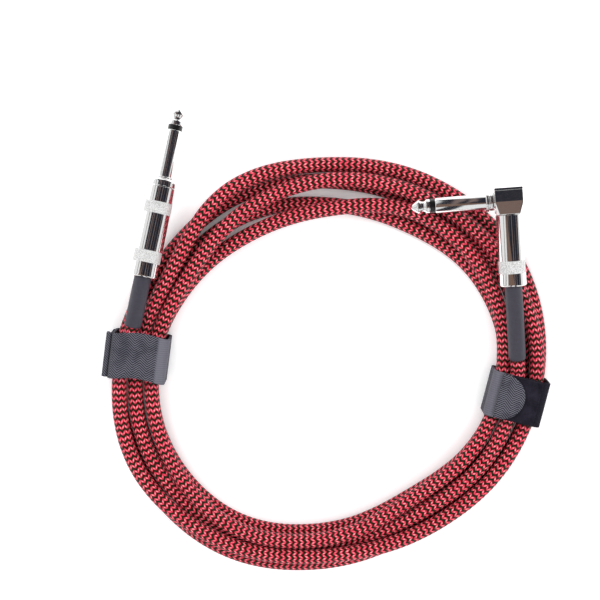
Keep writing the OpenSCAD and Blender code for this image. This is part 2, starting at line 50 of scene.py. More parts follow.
# ---- Camera -------------------------------------------------------------------------
look = Vector((-0.01071, 0.0158, 0.0))
tilt = math.radians(6.0)
distance = 0.86
camera_data = bpy.data.cameras.new("camera")
camera_data.sensor_width = 36.0
camera_data.lens = 122.8
camera_data.clip_start = 0.05
camera_data.clip_end = 20.0
camera = bpy.data.objects.new("camera", camera_data)
bpy.context.scene.collection.objects.link(camera)
camera.location = look + distance * Vector((0.0, math.sin(tilt), math.cos(tilt)))
camera.rotation_euler = (-tilt, 0.0, 0.0)
bpy.context.scene.camera = camera

# ---- Course of the cord, as the solids have it --------------------------------------
CORD_D = 6.2
TURN_GAP = 0.65
COIL_R = 78.0
COIL_X, COIL_Y = 1.5, -8.45
STRAP_LIFT = 1.75
# the bundle's middle, off COIL_R, every CHART_STEP degrees
RING = [3, 2, -3, -6, -6, -4.5, 2.5, 7.5, 7, 1, -3, 0.5]
# every turn's lane and layer, every CHART_STEP degrees
TURNS = [
    [[0.85, 1.4], [0.95, 1.35], [0.4, 1.83], [0.4, 1.83], [1.03, 1.2], [0.93, 1],
     [0.8, 0.97], [0.45, 0.9], [0.5, 0.92], [0.45, 1.02], [-0.1, 1.02], [-0.77, 1]],
    [[-1.03, 1], [-1.1, 1.35], [-0.7, 1.87], [-0.7, 1.87], [-1.05, 1.3], [-1.12, 1],
     [-1.22, 1], [-0.9, 1], [-0.6, 0.92], [-1.3, 1], [-1.5, 0.4], [-1.05, 0]],
    [[-1, 0], [-1, 0], [-0.85, 0], [-0.85, 0], [-1, 0], [-1, 0],
     [-1, 0], [-1.35, 0], [-1.5, 0], [-1.1, 0], [-0.4, 0], [-0.02, 0]],
    [[0, 0], [0, 0], [0.15, 0], [0.15, 0], [0, 0], [0, 0],
     [0, 0], [0, 0], [0, 0], [0.32, 0], [0.85, 0], [1, 0]],
    [[1, 0], [1, 0], [0.95, 0.86], [0.95, 0.86], [1, 0], [1, 0],
     [1, 0], [1.2, 0], [1.4, 0], [1.35, 0.3], [1.5, 0.9], [0.28, 1]],
    [[-0.05, 1], [-0.05, 1], [-0.2, 1], [-0.2, 1], [0, 1], [-0.1, 1.15], [-0.49, 1.71]]
]
CHART = [place for turn in TURNS for place in turn]
CHART_START, CHART_END, CHART_STEP = 180.0, 2145.0, 30.0
START_ANGLE, START_PLACE = 169.5, (0.68, 1.89)
END_ANGLE, END_PLACE = 361.0, (-0.49, 1.71)
LEFT_ANGLE, RIGHT_ANGLE = 178.6, 349.0
LIFT_FLAT, LIFT_REACH = 16.0, 46.0
PITCH = CORD_D + TURN_GAP
FLOOR_Z = 0.4 * CORD_D


def smooth(a, b, c, d, u):
    return 0.5 * (2 * b + (c - a) * u + (2 * a - 5 * b + 4 * c - d) * u * u
                  + (3 * b - a - 3 * c + d) * u ** 3)


def chart_at(i):
    return CHART[max(0, min(len(CHART) - 1, i))]


def place_at(angle):
    x = (angle - CHART_START) / CHART_STEP
    i = math.floor(x)
    return [smooth(chart_at(i - 1)[k], chart_at(i)[k], chart_at(i + 1)[k], chart_at(i + 2)[k], x - i)
            for k in (0, 1)]


def ring_radius(angle):
    x = (angle % 360.0) / CHART_STEP
    i = math.floor(x)
    return COIL_R + smooth(RING[(i + 11) % 12], RING[i % 12], RING[(i + 1) % 12],
                           RING[(i + 2) % 12], x - i)


def hump(away):
    if away < LIFT_FLAT:
        return 1.0
    if away < LIFT_REACH:
        return 0.5 + 0.5 * math.cos(math.pi * (away - LIFT_FLAT) / (LIFT_REACH - LIFT_FLAT))
    return 0.0


def lift(angle):
    return STRAP_LIFT * sum(hump(abs((angle - a + 180.0) % 360.0 - 180.0))
                            for a in (LEFT_ANGLE, RIGHT_ANGLE))


def lane_point(angle, lane, layer):
    r = ring_radius(angle) + lane * PITCH
    a = math.radians(angle)
    return Vector((COIL_X + r * math.cos(a), COIL_Y + r * math.sin(a),
                   FLOOR_Z + layer * PITCH + lift(angle))) * MM


def heading(polar, yaw):
    """Turn of a plug's frame: nose along local Z."""
    return Matrix.Rotation(math.radians(yaw), 3, "Z") @ Matrix.Rotation(math.radians(polar), 3, "Y")


def bend_end(length, straight, bend):
    """End of a boot and the way on, seen from where it leaves its shell."""
    r = (length - straight) / math.radians(bend)
    b = math.radians(bend)
    return (Vector((r * (1 - math.cos(b)), 0, -straight - r * math.sin(b))),
            Vector((math.sin(b), 0, -math.cos(b))))


STRAIGHT_TURN = heading(98.5, 77.9)
ANGLE_TURN = heading(90.0, 94.2)
STRAIGHT_L, ANGLE_L = 41.5, 29.5
BOOT_STRAIGHT = 7.0
STRAIGHT_BOOT_L, STRAIGHT_BEND = 20.8, 14.0
ANGLE_BOOT_L, ANGLE_BEND = 31.0, 12.0
HEAD_TAPER, SHELL_GAP = 5.4, 0.3
straight_end, straight_way = bend_end(STRAIGHT_BOOT_L, BOOT_STRAIGHT, STRAIGHT_BEND)
angle_end, angle_way = bend_end(ANGLE_BOOT_L, BOOT_STRAIGHT, ANGLE_BEND)
cord_start = lane_point(START_ANGLE, *START_PLACE)
cord_end = lane_point(END_ANGLE, *END_PLACE)
start_way = STRAIGHT_TURN @ straight_way
end_way = -(ANGLE_TURN @ angle_way)
straight_at = cord_start - STRAIGHT_TURN @ (straight_end - Vector((0, 0, STRAIGHT_L))) * MM
angle_cable_z = -HEAD_TAPER - SHELL_GAP - ANGLE_L
angle_at = cord_end - ANGLE_TURN @ (angle_end + Vector((0, 0, angle_cable_z))) * MM
STRAIGHT_PLUG = Matrix.Translation(straight_at) @ STRAIGHT_TURN.to_4x4()
ANGLE_PLUG = Matrix.Translation(angle_at) @ ANGLE_TURN.to_4x4()


def curve_through(points, step):
    """A smooth curve through the points, resampled every step metres."""
    fine = 24
    out = []
    n = len(points)
    for i in range(n - 1):
        a = points[max(0, i - 1)]
        b, c = points[i], points[i + 1]
        d = points[min(n - 1, i + 2)]
        if i == 0:
            a = b - (c - b)
        if i == n - 2:
            d = c + (c - b)
        t1 = (c - a) / ((c - b).length + (b - a).length) * (c - b).length
        t2 = (d - b) / ((d - c).length + (c - b).length) * (c - b).length
        for k in range(fine):
            u = k / fine
            out.append(b * (2 * u ** 3 - 3 * u * u + 1) + t1 * (u ** 3 - 2 * u * u + u)
                       + c * (3 * u * u - 2 * u ** 3) + t2 * (u ** 3 - u * u))
    out.append(points[-1])
    even = [out[0]]
    carried = 0.0
    for p, q in zip(out, out[1:]):
        gap = (q - p).length
        while gap and carried + gap >= step:
            p = p + (q - p) * ((step - carried) / gap)
            gap = (q - p).length
            even.append(p)
            carried = 0.0
        carried += gap
    if (even[-1] - out[-1]).length < 0.4 * step:
        even.pop()
    even.append(out[-1])
    return even


route = [cord_start, cord_start + start_way * CORD_D * MM]
angle = CHART_START
while angle <= CHART_END + 0.01:
    route.append(lane_point(angle, *place_at(angle)))
    angle += CHART_STEP / 4
route += [cord_end - end_way * CORD_D * MM, cord_end]
course = curve_through(route, 1.15 * MM)


# ---- Hand tools ---------------------------------------------------------------------
def nothing_selected():
    if bpy.context.object and bpy.context.object.mode != "OBJECT":
        bpy.ops.object.mode_set(mode="OBJECT")
    bpy.ops.object.select_all(action="DESELECT")


def pick(obj):
    nothing_selected()
    obj.select_set(True)
    bpy.context.view_layer.objects.active = obj


def opened(name, kind):
    """The piece just added: named, its place and size taken into its mesh, all of it selected."""
    obj = bpy.context.object
    obj.name = name
    pick(obj)
    bpy.ops.object.transform_apply(location=True, rotation=True, scale=True)
    bpy.ops.object.mode_set(mode="EDIT")
    bpy.ops.mesh.select_mode(type=kind)
    bpy.ops.mesh.select_all(action="SELECT")
    return obj


def closed():
    """Turns every face outwards and leaves edit mode."""
    bpy.ops.mesh.select_all(action="SELECT")
    bpy.ops.mesh.normals_make_consistent(inside=False)
    bpy.ops.object.mode_set(mode="OBJECT")


def weld():
    bpy.ops.mesh.select_all(action="SELECT")
    bpy.ops.mesh.remove_doubles(threshold=1e-6)


def select_where(obj, kind, test):
    """Selects the verts, edges or faces that pass the test, and nothing else."""
    bpy.ops.mesh.select_all(action="DESELECT")
    mesh = bmesh.from_edit_mesh(obj.data)
    for part in getattr(mesh, kind):
        if test(part):
            part.select_set(True)
    bmesh.update_edit_mesh(obj.data)


def extrude_edges(x, y, z):
    """Draws the selected edges out by a way in mm."""
    bpy.ops.mesh.extrude_edges_move(TRANSFORM_OT_translate={"value": (x * MM, y * MM, z * MM)})


def extrude_faces(x, y, z):
    bpy.ops.mesh.extrude_region_move(TRANSFORM_OT_translate={"value": (x * MM, y * MM, z * MM)})


def grow(x, y, z):
    bpy.ops.transform.resize(value=(x, y, z))


def apply_modifier(obj, kind, **settings):
    pick(obj)
    change = obj.modifiers.new("change", kind)
    for key, value in settings.items():
        setattr(change, key, value)
    bpy.ops.object.modifier_apply(modifier=change.name)


def cut_by(obj, cutter, operation):
    """Boolean with a cutter, which is then thrown away."""
    apply_modifier(obj, "BOOLEAN", operation=operation, solver="EXACT", object=cutter)
    pick(cutter)
    bpy.ops.object.delete()


def soften_edges(obj, width, segments, angle=30.0):
    apply_modifier(obj, "BEVEL", width=width * MM, segments=segments,
                   angle_limit=math.radians(angle), harden_normals=False)


def fuse(obj, others):
    """Joins other objects into the first."""
    pick(obj)
    for other in others:
        other.select_set(True)
    bpy.ops.object.join()


def fit(obj, matrix, finish, body, node, crease=40.0):
    """Moves a piece from its own frame to its place, in the place of its solid.
    Its object stays at the origin. Edges sharper than the crease stay sharp."""
    pick(obj)
    obj.matrix_world = matrix @ obj.matrix_world
    bpy.ops.object.transform_apply(location=True, rotation=True, scale=True)
    bpy.ops.object.shade_smooth_by_angle(angle=math.radians(crease))
    finish.on(obj)
    if body:
        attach(obj, body)
    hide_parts(node)


def turn(name, profile, segments=72):
    """Turned part: a ring drawn out along Z through (radius, height) in mm.
    A profile that comes back to its start makes a closed tube."""
    nothing_selected()
    tube = profile[0] == profile[-1]
    r, z = profile[0]
    bpy.ops.mesh.primitive_circle_add(vertices=segments, radius=r * MM, location=(0, 0, z * MM),
                                      fill_type="NOTHING" if tube else "NGON")
    obj = opened(name, "EDGE")
    for next_r, next_z in profile[1:]:
        extrude_edges(0, 0, next_z - z)
        if next_r != r:
            grow(next_r / r, next_r / r, 1.0)
        r, z = next_r, next_z
    if tube:
        weld()
    else:
        bpy.ops.mesh.edge_face_add()
    closed()
    return obj


# ---- Finishes -----------------------------------------------------------------------
def rgba(value):
    """A colour of three parts gets its fourth; anything else stays."""
    return (*value, 1.0) if isinstance(value, tuple) and len(value) == 3 else value


def toned(colour, by):
    return tuple(by * c for c in colour)


class Nodes:
    """A node tree and short ways to add to it."""

    def __init__(self, tree):
        self.tree = tree

    def add(self, kind, **values):
        node = self.tree.nodes.new(kind)
        for key, value in values.items():
            setattr(node, key, value)
        return node

    def link(self, a, b):
        self.tree.links.new(a, b)

    def feed(self, socket, value):
        if isinstance(value, (int, float)):
            socket.default_value = value
        elif isinstance(value, (tuple, list, Vector)):
            socket.default_value = tuple(value)
        else:
            self.link(value, socket)

    def math(self, operation, a, b=0.5, c=0.5):
        node = self.add("ShaderNodeMath", operation=operation)
        for socket, value in zip(node.inputs, (a, b, c)):
            self.feed(socket, value)
        return node.outputs[0]

    def times(self, a, b):
        return self.math("MULTIPLY", a, b)

    def scaled(self, value, by, plus):
        return self.math("MULTIPLY_ADD", value, by, plus)

    def sine(self, value, rate):
        return self.math("SINE", self.times(value, rate))

    def vector(self, operation, a, b):
        node = self.add("ShaderNodeVectorMath", operation=operation)
        self.feed(node.inputs[0], a)
        self.feed(node.inputs[1], b)
        return node.outputs["Value" if operation == "DOT_PRODUCT" else "Vector"]

    def step(self, value, low, high, a=0.0, b=1.0):
        """Goes softly from a to b while the value goes from low to high."""
        node = self.add("ShaderNodeMapRange", interpolation_type="SMOOTHSTEP", clamp=True)
        self.feed(node.inputs["Value"], value)
        for key, number in (("From Min", low), ("From Max", high), ("To Min", a), ("To Max", b)):
            node.inputs[key].default_value = number
        return node.outputs["Result"]

    def window(self, value, low, high, soft, soft_end):
        """1 between low and high, 0 outside, over so soft an edge at each."""
        return self.times(self.step(value, low - soft, low + soft),
                          self.step(value, high - soft_end, high + soft_end, 1.0, 0.0))

    def mix(self, fac, a, b):
        node = self.add("ShaderNodeMix", data_type="RGBA")
        self.feed(node.inputs[0], fac)
        self.feed(node.inputs[6], rgba(a))
        self.feed(node.inputs[7], rgba(b))
        return node.outputs[2]

    def noise(self, vector, scale, detail, rough=0.5):
        node = self.add("ShaderNodeTexNoise")
        self.link(vector, node.inputs["Vector"])
        for key, number in (("Scale", scale), ("Detail", detail), ("Roughness", rough)):
            node.inputs[key].default_value = number
        return node.outputs["Fac"]

    def grain(self, scale, detail, rough=0.5):
        """Noise through the space that the pieces stand in."""
        place = self.add("ShaderNodeTexCoord").outputs["Object"]
        return self.noise(place, scale, detail, rough)


class Finish(Nodes):
    """A material and short ways to set its looks."""

    def __init__(self, name):
        self.mat = bpy.data.materials.new(name)
        self.mat.use_nodes = True
        super().__init__(self.mat.node_tree)
        self.shader = self.tree.nodes["Principled BSDF"]

    def map_of(self, name):
        """A map, and its first and second number."""
        uv = self.add("ShaderNodeUVMap", uv_map=name).outputs["UV"]
        split = self.add("ShaderNodeSeparateXYZ")
        self.link(uv, split.inputs[0])
        return uv, split.outputs[0], split.outputs[1]

    def bump(self, height, distance, strength):
        node = self.add("ShaderNodeBump")
        self.link(height, node.inputs["Height"])
        node.inputs["Distance"].default_value = distance
        node.inputs["Strength"].default_value = strength
        self.link(node.outputs["Normal"], self.shader.inputs["Normal"])

    def set(self, **values):
        for key, value in values.items():
            self.feed(self.shader.inputs[key.replace("_", " ")], rgba(value))

    def on(self, *objs):
        for obj in objs:
            obj.data.materials.clear()
            obj.data.materials.append(self.mat)


RED_SHARE = 0.565


def braid_finish():
    f = Finish("braid")
    uv, along, around = f.map_of("braid")
    # zigzag: every arm of the braid leans the other way
    slant = f.scaled(f.math("PINGPONG", around, 0.5), 1.0, along)
    slant = f.scaled(f.noise(uv, 0.9, 2.0), 0.22, slant)
    stitch = f.noise(uv, 2.7, 1.0)
    slant = f.scaled(stitch, 0.20, slant)
    band = f.math("FRACT", slant)
    # red over its share of each period, dark over the rest, each a rounded bundle of yarn
    red = f.window(band, 0.025, RED_SHARE, 0.025, 0.025)
    red_crown = f.sine(band, math.pi / RED_SHARE)
    dark_crown = f.sine(f.math("SUBTRACT", band, RED_SHARE), math.pi / (1.0 - RED_SHARE))
    crown = f.math("MAXIMUM", f.math("MAXIMUM", red_crown, 0.0), f.math("MAXIMUM", dark_crown, 0.0))
    arm = f.sine(f.math("FRACT", f.times(around, 2.0)), math.pi)
    arm = f.math("MAXIMUM", arm, 0.001)
    height = f.times(f.math("POWER", crown, 0.6), f.math("POWER", arm, 0.35))
    height = f.scaled(f.grain(5200.0, 2.0), 0.16, height)
    lit = f.step(height, 0.15, 0.95)
    # the crowns of some stitches catch the light
    glint = f.times(f.step(f.times(crown, arm), 0.45, 0.95), f.step(stitch, 0.36, 0.60))
    reds = f.mix(lit, (0.22, 0.005, 0.017), (0.94, 0.062, 0.115))
    reds = f.mix(glint, reds, (1.0, 0.42, 0.44))
    darks = f.mix(lit, (0.0016, 0.0028, 0.0008), (0.013, 0.022, 0.006))
    f.set(Base_Color=f.mix(red, darks, reds), Roughness=0.5, Sheen_Weight=0.03,
          Sheen_Roughness=0.4, Specular_IOR_Level=0.18)
    f.bump(height, 0.00028, 0.9)
    return f


def rubber_finish():
    f = Finish("boot_rubber")
    grain = f.grain(900.0, 4.0)
    f.set(Base_Color=f.mix(grain, (0.037, 0.034, 0.047), (0.058, 0.054, 0.073)),
          Roughness=f.step(f.grain(260.0, 3.0), 0.2, 0.8, 0.46, 0.60))
    f.bump(grain, 0.00003, 0.5)
    return f


def plate_finish(name, colour, rough, bands=(), axis=None, start=None):
    """Bright plate; bands are frosted rings between two distances in mm along an axis."""
    f = Finish(name)
    fine = f.grain(1800.0, 3.0)
    level = f.step(fine, 0.3, 0.7, rough, rough + 0.05)
    shade = f.mix(fine, toned(colour, 0.965), colour)
    metal = 1.0
    if bands:
        place = f.add("ShaderNodeTexCoord").outputs["Object"]
        along = f.vector("DOT_PRODUCT", f.vector("SUBTRACT", place, start), axis)
        edge = 0.12 * MM
        frost = 0.0
        for low, high in bands:
            frost = f.math("MAXIMUM", f.window(along, low * MM, high * MM, edge, edge), frost)
        level = f.scaled(frost, 0.45, level)
        speck = f.step(f.grain(2400.0, 3.0), 0.38, 0.62)
        shade = f.mix(frost, shade, f.mix(speck, (0.55, 0.55, 0.54), (0.86, 0.86, 0.85)))
        metal = f.scaled(frost, -0.75, 1.0)
        f.bump(f.times(frost, f.grain(9000.0, 2.0)), 0.00002, 0.6)
    f.set(Base_Color=shade, Metallic=metal, Roughness=level)
    return f


def plain_finish(name, dark, light, rough, metallic=0.0, scale=900.0, relief=0.00002):
    f = Finish(name)
    grain = f.grain(scale, 4.0)
    f.set(Base_Color=f.mix(grain, dark, light), Metallic=metallic,
          Roughness=f.step(grain, 0.3, 0.7, rough - 0.05, rough + 0.05))
    f.bump(grain, relief, 0.5)
    return f


# ---- Cord ---------------------------------------------------------------------------
AROUND = 24
BRAID_PERIOD = 2.45 * MM
ZIGZAGS = 8
FLOOR_SEAT = 0.05 * MM


def wound_cord():
    """The braided cord: a tube round the course, its map counting braid periods."""
    n = len(course)
    tangents = [(course[min(n - 1, i + 1)] - course[max(0, i - 1)]).normalized() for i in range(n)]
    tangents[0], tangents[-1] = start_way.normalized(), end_way.normalized()
    bm = bmesh.new()
    uv = bm.loops.layers.uv.new("braid")
    side = tangents[0].cross(Vector((0, 0, 1))).normalized()
    rings, run, runs = [], 0.0, []
    for i in range(n):
        side = (side - tangents[i] * side.dot(tangents[i])).normalized()
        up = side.cross(tangents[i])
        ring = []
        for k in range(AROUND):
            a = 2 * math.pi * k / AROUND
            p = course[i] + (math.cos(a) * side + math.sin(a) * up) * CORD_D / 2 * MM
            p.z = max(p.z, FLOOR_SEAT)
            ring.append(bm.verts.new(p))
        rings.append(ring)
        if i:
            run += (course[i] - course[i - 1]).length
        runs.append(run)
    for i in range(n - 1):
        for k in range(AROUND):
            j = (k + 1) % AROUND
            face = bm.faces.new((rings[i][k], rings[i][j], rings[i + 1][j], rings[i + 1][k]))
            face.smooth = True
            for loop, (u, v) in zip(face.loops, ((i, k), (i, k + 1), (i + 1, k + 1), (i + 1, k))):
                loop[uv].uv = (runs[u] / BRAID_PERIOD, v * ZIGZAGS / AROUND)
    bm.faces.new(rings[0])
    bm.faces.new(list(reversed(rings[-1])))
    bmesh.ops.recalc_face_normals(bm, faces=bm.faces)
    mesh = bpy.data.meshes.new("braided_cord")
    bm.to_mesh(mesh)
    bm.free()
    obj = bpy.data.objects.new("braided_cord", mesh)
    bpy.context.scene.collection.objects.link(obj)
    return obj


braided_cord = wound_cord()
braid_finish().on(braided_cord)
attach(braided_cord, "cable")
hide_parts("cord_coil")

# ---- Plug contacts ------------------------------------------------------------------
CONTACT_L, CONTACT_OFF = 30.5, 9.2
TIP_L, RING_L = 7.8, 2.0
RING_TOP = CONTACT_L - TIP_L
SLEEVE_TOP = RING_TOP - RING_L
NICKEL = (0.82, 0.82, 0.81)
contact_plate = plate_finish("contact_plate", NICKEL, 0.09)
ring_black = plain_finish("ring_black", (0.004, 0.004, 0.004), (0.010, 0.010, 0.010), 0.22)
brass = plain_finish("turned_brass", (0.62, 0.44, 0.16), (0.78, 0.58, 0.26), 0.28, metallic=1.0)
fibre_board = plain_finish("fibre_board", (0.12, 0.05, 0.02), (0.24, 0.11, 0.05), 0.6)
tinned = plain_finish("tinned_sheet", (0.60, 0.60, 0.58), (0.74, 0.74, 0.72), 0.34, metallic=1.0)
solder = plain_finish("bright_solder", (0.66, 0.66, 0.67), (0.78, 0.78, 0.79), 0.2, metallic=1.0)
copper = plain_finish("bare_copper", (0.60, 0.27, 0.13), (0.80, 0.42, 0.24), 0.32, metallic=1.0,
                      scale=3000.0, relief=0.00006)
jacket_black = plain_finish("jacket_black", (0.008, 0.008, 0.008), (0.018, 0.018, 0.018), 0.5)
core_white = plain_finish("core_white", (0.62, 0.62, 0.58), (0.74, 0.74, 0.70), 0.4)
liner_pale = plain_finish("liner_pale", (0.62, 0.62, 0.56), (0.72, 0.72, 0.66), 0.45)
boot_rubber = rubber_finish()
TIP_CREASE, METAL_CREASE, FLAT_CREASE = 45.0, 38.0, 4.0
TO_CONTACT = (ANGLE_PLUG @ Matrix.Translation((0, CONTACT_OFF * MM, 0))
              @ Matrix.Rotation(math.radians(-90), 4, "X"))


def contact(which, matrix):
    """Tip contact of one plug. The ring and tube below it show their own solid."""
    top = CONTACT_L
    tip = turn(which + "_tip_metal", [
        (1.3, RING_TOP), (2.75, RING_TOP), (2.93, RING_TOP + 0.16), (2.95, RING_TOP + 0.5),
        (2.95, RING_TOP + 1.5), (2.86, RING_TOP + 1.75), (2.45, RING_TOP + 2.25),
        (2.16, RING_TOP + 2.65), (2.10, top - 4.85), (2.13, top - 4.55), (2.32, top - 4.1),
        (2.66, top - 3.6), (2.84, top - 3.25), (2.86, top - 3.0), (2.76, top - 2.7),
        (2.35, top - 2.0), (1.85, top - 1.3), (1.35, top - 0.65), (1.05, top - 0.3),
        (0.72, top - 0.08), (0.35, top - 0.01), (0.05, top)])
    fit(tip, matrix, contact_plate, "cable", which + "_tip", TIP_CREASE)


contact("straight", STRAIGHT_PLUG)
contact("angle", TO_CONTACT)

# ---- Plug bodies --------------------------------------------------------------------
SLEEVE_R = 3.175
BORE_R = 2.1
THREAD_PITCH = 0.75
THREAD_DEPTH = 0.28
STRAIGHT_R = 5.7
STRAIGHT_THREAD_R = 4.65
ANGLE_TOP_R, ANGLE_END_R = 5.4, 5.6
ANGLE_THREAD_R = 4.35
BOOT_HOLE_R = 3.75
POLISH = (0.83, 0.82, 0.81)


def thread(r, top, length):
    """Outline of a screw thread from its top down: crest radius r."""
    out = []
    for k in range(int(length / THREAD_PITCH)):
        z = top - k * THREAD_PITCH
        out += [(r - THREAD_DEPTH, z), (r - THREAD_DEPTH, z - 0.15), (r, z - 0.38), (r, z - 0.52)]
    return out + [(r - THREAD_DEPTH, top - length)]


def corner(r, z, radius, steps):
    """Rounded outer corner at (r, z), from the face above it to the side below."""
    return [(r - radius + radius * math.sin(math.pi / 2 * k / steps),
             z - radius + radius * math.cos(math.pi / 2 * k / steps)) for k in range(steps + 1)]


def plug_plate(name, matrix, bands):
    """Polished plate whose frosted bands lie across a plug's own axis."""
    start = matrix.translation
    axis = (matrix.to_3x3() @ Vector((0, 0, 1))).normalized()
    return plate_finish(name, POLISH, 0.07, bands, axis, start)


straight_plate = plug_plate("straight_plate", STRAIGHT_PLUG, ((-14.7, -9.8), (-35.3, -30.3)))
angle_plate = plug_plate("angle_plate", ANGLE_PLUG, ((-29.9, -24.7),))

straight_collar = turn("straight_collar", [
    (BORE_R, SLEEVE_TOP - 0.05), (2.98, SLEEVE_TOP - 0.05), (SLEEVE_R, SLEEVE_TOP - 0.3),
    (SLEEVE_R, 1.0), (3.5, 0.86), (3.74, 0.62), (3.74, 0.2), (3.9, 0.0)]
    + corner(STRAIGHT_R, 0.0, 1.7, 8)
    + [(STRAIGHT_R, -3.08), (5.6, -3.2), (STRAIGHT_THREAD_R - THREAD_DEPTH, -3.2)]
    + thread(STRAIGHT_THREAD_R, -3.45, 5.75)
    + [(BORE_R, -9.2), (BORE_R, SLEEVE_TOP - 0.05)])
fit(straight_collar, STRAIGHT_PLUG, contact_plate, "cable", "straight_sleeve",
    METAL_CREASE)

straight_barrel = turn("straight_barrel", [
    (4.7, -3.5), (5.56, -3.5), (STRAIGHT_R, -3.66), (STRAIGHT_R, -9.8), (STRAIGHT_R, -14.7),
    (STRAIGHT_R, -30.3), (STRAIGHT_R, -35.3), (STRAIGHT_R, -STRAIGHT_L + 0.85),
    (5.64, -STRAIGHT_L + 0.42), (5.46, -STRAIGHT_L + 0.14), (5.2, -STRAIGHT_L),
    (4.35, -STRAIGHT_L), (4.12, -STRAIGHT_L + 0.1), (3.85, -STRAIGHT_L + 0.36),
    (BOOT_HOLE_R, -STRAIGHT_L + 0.6), (BOOT_HOLE_R, -STRAIGHT_L + 1.6),
    (4.8, -STRAIGHT_L + 1.6), (4.8, -9.5), (4.7, -9.5), (4.7, -3.5)])
fit(straight_barrel, STRAIGHT_PLUG, straight_plate, "straight_shell_turner", "straight_shell",
    METAL_CREASE)

angle_neck = turn("angle_neck", [
    (BORE_R, SLEEVE_TOP - 0.05), (2.98, SLEEVE_TOP - 0.05), (SLEEVE_R, SLEEVE_TOP - 0.3),
    (SLEEVE_R, 0.06), (3.3, 0.0), (3.85, -0.02), (4.02, -0.16), (4.1, -0.4), (4.1, -1.0),
    (3.95, -1.25), (3.6, -1.36), (3.55, -1.6), (3.72, -1.72), (3.8, -1.9), (3.8, -3.1),
    (3.7, -3.32), (2.8, -3.38), (2.8, -5.4), (BORE_R, -5.4), (BORE_R, SLEEVE_TOP - 0.05)])
fit(angle_neck, TO_CONTACT, contact_plate, "cable", "angle_sleeve", METAL_CREASE)

HEAD_R, HEAD_END_R, HEAD_FLAT = 5.8, 5.35, 4.1
HEAD_TOP = 4.6
HEAD_BORE_R = 3.4
CAP_T, CAP_SEAT = 0.95, 0.05
shell_top = -HEAD_TAPER - SHELL_GAP
shell_end = shell_top - ANGLE_L
angle_barrel = turn("angle_barrel", [
    (4.4, shell_top), (5.2, shell_top), (5.34, shell_top - 0.1), (ANGLE_TOP_R, shell_top - 0.3),
    (5.5, -24.7), (5.53, -29.9), (ANGLE_END_R, shell_end + 0.8),
    (5.55, shell_end + 0.36), (5.38, shell_end + 0.1), (5.15, shell_end),
    (4.3, shell_end), (4.05, shell_end + 0.1), (3.84, shell_end + 0.34),
    (BOOT_HOLE_R, shell_end + 0.6), (BOOT_HOLE_R, shell_end + 1.6), (4.5, shell_end + 1.6),
    (4.5, shell_top - 6.0), (4.4, shell_top - 6.0), (4.4, shell_top)])
fit(angle_barrel, ANGLE_PLUG, angle_plate, "angle_shell_turner", "angle_shell",
    METAL_CREASE)


def angle_block():
    """Square head whose lower part narrows, with its corners bevelled towards the shell."""
    nothing_selected()
    bpy.ops.mesh.primitive_cube_add(size=2 * HEAD_R * MM, location=(0, 0, HEAD_R * MM))
    block = opened("angle_block", "FACE")
    select_where(block, "faces", lambda face: face.normal.z > 0.9)
    bpy.ops.transform.translate(value=(0, 0, (HEAD_TOP - 2 * HEAD_R) * MM))
    select_where(block, "faces", lambda face: face.normal.z < -0.9)
    extrude_faces(0, 0, -HEAD_TAPER)
    grow(HEAD_END_R / HEAD_R, HEAD_END_R / HEAD_R, 1.0)
    # corner bevels that start at nothing and widen towards the shell
    for sx, sy in ((1, 1), (1, -1), (-1, 1), (-1, -1)):
        bpy.ops.mesh.select_all(action="SELECT")
        high = Vector((sx * HEAD_R, sy * HEAD_R, 0.0))
        low_a = Vector((sx * HEAD_END_R, sy * HEAD_FLAT, -HEAD_TAPER))
        low_b = Vector((sx * HEAD_FLAT, sy * HEAD_END_R, -HEAD_TAPER))
        normal = (low_a - high).cross(low_b - high)
        if normal.dot(Vector((sx, sy, 0))) < 0:
            normal.negate()
        bpy.ops.mesh.bisect(plane_co=high * MM, plane_no=normal.normalized(), use_fill=True,
                            clear_outer=True, threshold=1e-7)
    soften_edges(block, 0.22, 3)
    root = turn("thread_spigot", [
        (HEAD_BORE_R, -HEAD_TAPER + 1.0), (4.0, -HEAD_TAPER + 1.0),
        (ANGLE_THREAD_R - THREAD_DEPTH, -HEAD_TAPER + 0.2)]
        + thread(ANGLE_THREAD_R, -HEAD_TAPER - 0.1, 6.2)
        + [(HEAD_BORE_R, shell_top - 6.0), (HEAD_BORE_R, -HEAD_TAPER + 1.0)], segments=96)
    bore = turn("head_bore", [(HEAD_BORE_R, -HEAD_TAPER - 2.0), (HEAD_BORE_R, HEAD_TOP - 1.0)])
    cut_by(block, bore, "DIFFERENCE")
    fuse(block, [root])
    return block


def cap_plate():
    """Cap of the head: a plate with a shallow step round its rim."""
    nothing_selected()
    bpy.ops.mesh.primitive_cube_add(size=2 * HEAD_R * MM,
                                    location=(0, 0, (HEAD_TOP + CAP_SEAT + CAP_T / 2) * MM))
    grow(1.0, 1.0, CAP_T / (2 * HEAD_R))
    cap = opened("head_cap", "FACE")
    select_where(cap, "faces", lambda face: face.normal.z > 0.9)
    bpy.ops.mesh.inset(thickness=0.9 * MM)
    bpy.ops.mesh.inset(thickness=0.12 * MM, depth=-0.12 * MM)
    soften_edges(cap, 0.14, 2)
    return cap


fit(angle_block(), ANGLE_PLUG, contact_plate, "cable", "angle_head", FLAT_CREASE)
fit(cap_plate(), ANGLE_PLUG, contact_plate, "cable", "angle_head_cap", FLAT_CREASE)

# ---- Boots --------------------------------------------------------------------------
BOOT_R = 3.6
BOOT_LIP = 0.9
BOOT_STEPS = 10


